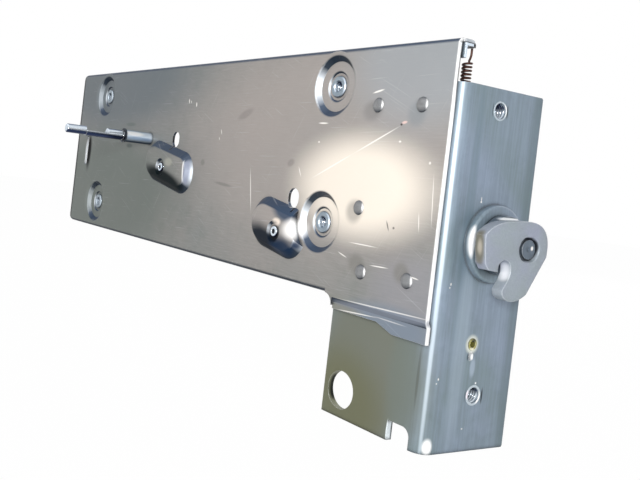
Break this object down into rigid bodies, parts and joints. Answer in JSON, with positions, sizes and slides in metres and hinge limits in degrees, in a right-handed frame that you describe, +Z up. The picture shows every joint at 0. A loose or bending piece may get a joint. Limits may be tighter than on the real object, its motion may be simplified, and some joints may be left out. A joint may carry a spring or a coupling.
{
  "type": "truck door lock",
  "caption": "Plated steel door lock: long pressed plate, folded face plate with rotary claw, and a handle spindle that pulls a bar to free the pawl.",
  "frame": {"origin": "on the outer face of the face plate, 30 mm above the claw axis and 30 mm behind the outer face of the main plate", "axes": "+X from the main plate out through the face plate, +Y from the viewer into the door, +Z up"},
  "size_m": [0.4035, 0.111, 0.169],
  "materials": {
    "zinc_sheet": "bright zinc plated pressed sheet",
    "zinc_plate": "blue-grey zinc plated thick plate",
    "zinc_parts": "zinc plated small parts",
    "claw_steel": "matte grey hardened steel",
    "bright_steel": "bright turned steel",
    "spring_steel": "oiled spring wire",
    "yellow_zinc": "yellow passivated steel"
  },
  "bodies": {
    "housing": {"main_plate": "zinc_sheet", "face_bracket": "zinc_plate", "backing_shim": "zinc_parts", "bracket_rivets": "zinc_parts", "mounting_bushes": "zinc_parts", "face_nuts": "zinc_parts", "rotor_bush": "zinc_parts", "inner_bridge": "zinc_plate", "pawl_pin": "yellow_zinc", "lever_pins": "bright_steel", "lever_clips": "spring_steel", "guide_clips": "zinc_parts", "spindle_bush": "zinc_parts", "spring_anchor": "zinc_parts", "rotor_spring": "spring_steel", "return_spring": "spring_steel", "pawl_spring": "spring_steel"},
    "rotor": {"rotor_claw": "claw_steel", "rotor_shaft": "bright_steel", "ratchet_wheel": "claw_steel", "spring_arm": "zinc_parts", "rotor_clip": "spring_steel"},
    "pawl": {"pawl": "claw_steel"},
    "release_lever": {"release_lever": "zinc_plate", "release_stud": "bright_steel", "nose_pin": "bright_steel"},
    "pull_lever": {"pull_lever": "zinc_plate", "pull_stud": "bright_steel"},
    "pull_bar": {"pull_bar": "zinc_parts"},
    "spindle": {"spindle": "bright_steel", "spindle_clip": "spring_steel", "spindle_crank": "zinc_plate", "crank_stud": "bright_steel"}
  },
  "joints": [
    {"name": "bar_slide", "type": "slide", "parent": "housing", "child": "pull_bar", "axis": [-1, 0, 0], "range_m": [0, 0.00419], "stiffness_N_per_m": 2000, "springref_m": -0.002},
    {"name": "spindle_turn", "type": "hinge", "parent": "housing", "child": "spindle", "pos_m": [-0.2613, -0.03, 0.0036], "axis": [0, -1, 0], "range_deg": [0, 20.3]},
    {"name": "pull_lever_turn", "type": "hinge", "parent": "housing", "child": "pull_lever", "pos_m": [-0.236, -0.03, -0.014], "axis": [0, -1, 0], "range_deg": [0, 5.1], "deforming": ["return_spring"]},
    {"name": "release_lever_turn", "type": "hinge", "parent": "housing", "child": "release_lever", "pos_m": [-0.107, -0.03, -0.0397], "axis": [0, -1, 0], "range_deg": [0, 3.4]},
    {"name": "pawl_turn", "type": "hinge", "parent": "housing", "child": "pawl", "pos_m": [0, -0.0043, -0.0721], "axis": [-1, 0, 0], "range_deg": [0, 13.5], "deforming": ["pawl_spring"]},
    {"name": "rotor_turn", "type": "hinge", "parent": "housing", "child": "rotor", "pos_m": [0, 0, -0.03], "axis": [1, 0, 0], "range_deg": [0, 60], "stiffness_Nm_per_rad": 0.3, "springref_deg": -17.19, "deforming": ["rotor_spring"]}
  ],
  "couplings": [
    {"joint": "spindle_turn", "follows": "bar_slide", "rad_per_m": 83.333},
    {"joint": "pull_lever_turn", "follows": "bar_slide", "rad_per_m": 20.833},
    {"joint": "release_lever_turn", "follows": "bar_slide", "rad_per_m": 13.569},
    {"joint": "pawl_turn", "follows": "bar_slide", "rad_per_m": 54.167}
  ]
}
